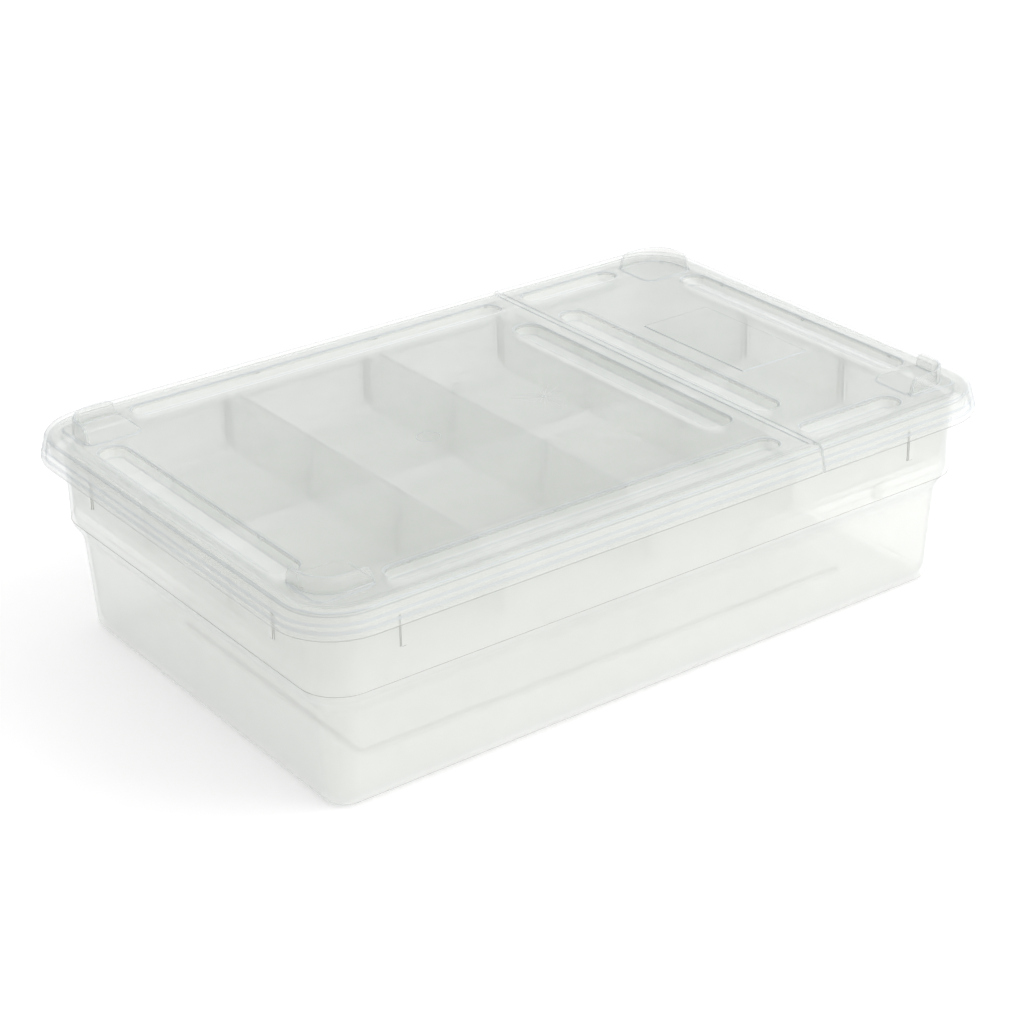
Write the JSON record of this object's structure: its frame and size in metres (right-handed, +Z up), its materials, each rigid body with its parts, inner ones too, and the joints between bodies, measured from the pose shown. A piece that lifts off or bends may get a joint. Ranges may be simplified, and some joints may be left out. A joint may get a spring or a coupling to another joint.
{
  "type": "fishing tackle box",
  "caption": "Stepped translucent tackle box with a lift-out divided tray and a two-panel lid that folds open at either end.",
  "frame": {"origin": "centre of the box's base, on the surface it stands on", "axes": "+X along the length towards the small flap, +Y across the width to the back, +Z up"},
  "size_m": [0.36, 0.238, 0.1028],
  "materials": {
    "tub_plastic": "translucent natural polypropylene, smooth with a soft sheen",
    "tray_plastic": "translucent natural polypropylene, slightly frosted",
    "divider_plastic": "translucent natural polypropylene, slightly frosted",
    "lid_plastic": "translucent natural polypropylene, smooth with faint flow marks",
    "web_plastic": "thin flexed polypropylene, slightly whitened"
  },
  "bodies": {
    "tub": {"tub": "tub_plastic"},
    "tray": {"tray": "tray_plastic", "long_divider_1": "divider_plastic", "long_divider_2": "divider_plastic", "cross_divider_1": "divider_plastic", "cross_divider_2": "divider_plastic", "cross_divider_3": "divider_plastic"},
    "lid_fold": {"hinge_web": "web_plastic"},
    "lid_main": {"lid_main_panel": "lid_plastic"},
    "lid_flap": {"lid_flap": "lid_plastic"}
  },
  "joints": [
    {"name": "tray_lift", "type": "slide", "parent": "tub", "child": "tray", "axis": [0, 0, 1], "range_m": [0, 0.12]},
    {"name": "lid_lift", "type": "slide", "parent": "tray", "child": "lid_fold", "axis": [0, 0, 1], "range_m": [0, 0.08]},
    {"name": "main_panel_fold", "type": "hinge", "parent": "lid_fold", "child": "lid_main", "pos_m": [0.0725, 0, 0.095], "axis": [0, 1, 0], "range_deg": [0, 85]},
    {"name": "flap_fold", "type": "hinge", "parent": "lid_fold", "child": "lid_flap", "pos_m": [0.0755, 0, 0.095], "axis": [0, 1, 0], "range_deg": [-85, 0]}
  ]
}
